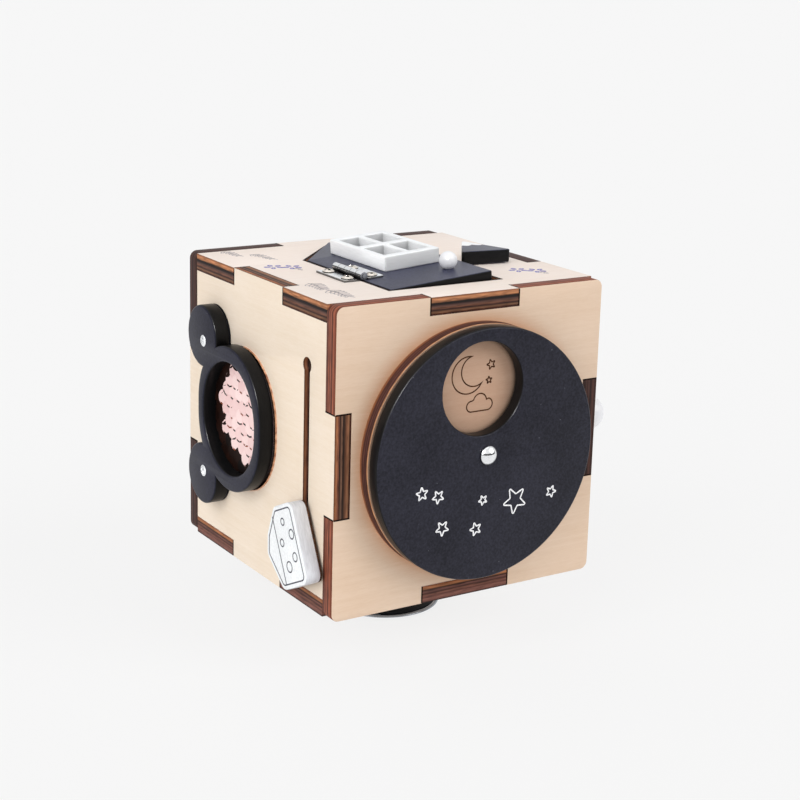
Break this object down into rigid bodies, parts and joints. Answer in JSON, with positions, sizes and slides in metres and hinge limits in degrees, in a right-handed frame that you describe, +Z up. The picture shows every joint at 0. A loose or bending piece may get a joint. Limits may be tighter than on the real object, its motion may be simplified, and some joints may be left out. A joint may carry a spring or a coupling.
{
  "type": "activity_cube",
  "caption": "Wooden activity cube on a turning foot, with a windowed disc, a sequin patch, a wedge slider, a house door, a turn button and a ball slider.",
  "frame": {"origin": "Middle of the foot's underside, where the cube stands on a table.", "axes": "+Z up. +Y goes from the front face with the night disc to the back. +X goes from the left face with the sequin patch to the right."},
  "size_m": [0.1209, 0.1122, 0.1269],
  "materials": {
    "plywood": "bare sanded basswood plywood with laser-burnt edges",
    "picture_wood": "bare plywood, a little darker",
    "black_painted_wood": "matt charcoal paint",
    "white_painted_wood": "satin white paint",
    "sequin_cloth": "pale pink flip sequins on a copper-brown backing",
    "zinc_steel": "zinc plated",
    "bright_steel": "bright nickel plate",
    "black_plate": "black powder coat",
    "foot_rubber": "matt"
  },
  "bodies": {
    "box": {"front_panel": "plywood", "back_panel": "plywood", "left_panel": "plywood", "right_panel": "plywood", "top_panel": "plywood", "bottom_panel": "plywood", "picture_disc": "picture_wood", "disc_spacer": "zinc_steel", "disc_rivet": "bright_steel", "rivet_washer": "zinc_steel", "sequin_frame": "black_painted_wood", "sequin_cloth": "sequin_cloth", "frame_screws": "zinc_steel", "door_stop": "plywood", "hinge_panel_leaf": "zinc_steel", "hinge_pin": "zinc_steel", "hinge_panel_screws": "zinc_steel", "button_washer": "zinc_steel", "foot_flange": "black_plate", "foot_screws": "zinc_steel"},
    "turning_disc": {"night_disc": "black_painted_wood"},
    "slider_shoe": {"slider_washer": "zinc_steel"},
    "wedge": {"cheese_wedge": "white_painted_wood", "slider_pin": "zinc_steel"},
    "door": {"door_leaf": "black_painted_wood", "window_lattice": "white_painted_wood", "door_knob": "white_painted_wood", "door_knob_screw": "zinc_steel", "hinge_door_leaf": "zinc_steel", "hinge_door_screws": "zinc_steel"},
    "turn_button": {"mountain_button": "black_painted_wood", "button_screw": "zinc_steel"},
    "ball_slider": {"side_knob": "white_painted_wood", "side_knob_washer": "zinc_steel", "side_knob_screw": "zinc_steel"},
    "foot": {"foot_pad": "foot_rubber", "foot_disc": "black_plate", "foot_rim": "bright_steel", "foot_spindle": "zinc_steel", "foot_thrust_washer": "zinc_steel", "foot_washer": "zinc_steel", "foot_clip": "zinc_steel"}
  },
  "joints": [
    {"name": "disc_turn", "type": "hinge", "parent": "box", "child": "turning_disc", "pos_m": [0, -0.0576, 0.069], "axis": [0, 1, 0], "continuous": true},
    {"name": "wedge_slide", "type": "slide", "parent": "box", "child": "slider_shoe", "axis": [0, 0, 1], "range_m": [0, 0.0585]},
    {"name": "wedge_turn", "type": "hinge", "parent": "slider_shoe", "child": "wedge", "pos_m": [-0.0504, -0.0326, 0.039], "axis": [1, 0, 0], "continuous": true},
    {"name": "door_swing", "type": "hinge", "parent": "box", "child": "door", "pos_m": [-0.0223, -0.0106, 0.1205], "axis": [0, -1, 0], "range_deg": [-4.4, 150]},
    {"name": "button_turn", "type": "hinge", "parent": "box", "child": "turn_button", "pos_m": [0.0301, -0.0069, 0.1195], "axis": [0, 0, 1], "continuous": true},
    {"name": "ball_slide", "type": "slide", "parent": "box", "child": "ball_slider", "axis": [0, 1, 0], "range_m": [0, 0.07]},
    {"name": "foot_turn", "type": "hinge", "parent": "box", "child": "foot", "pos_m": [0, 0, 0.0165], "axis": [0, 0, 1], "continuous": true}
  ]
}
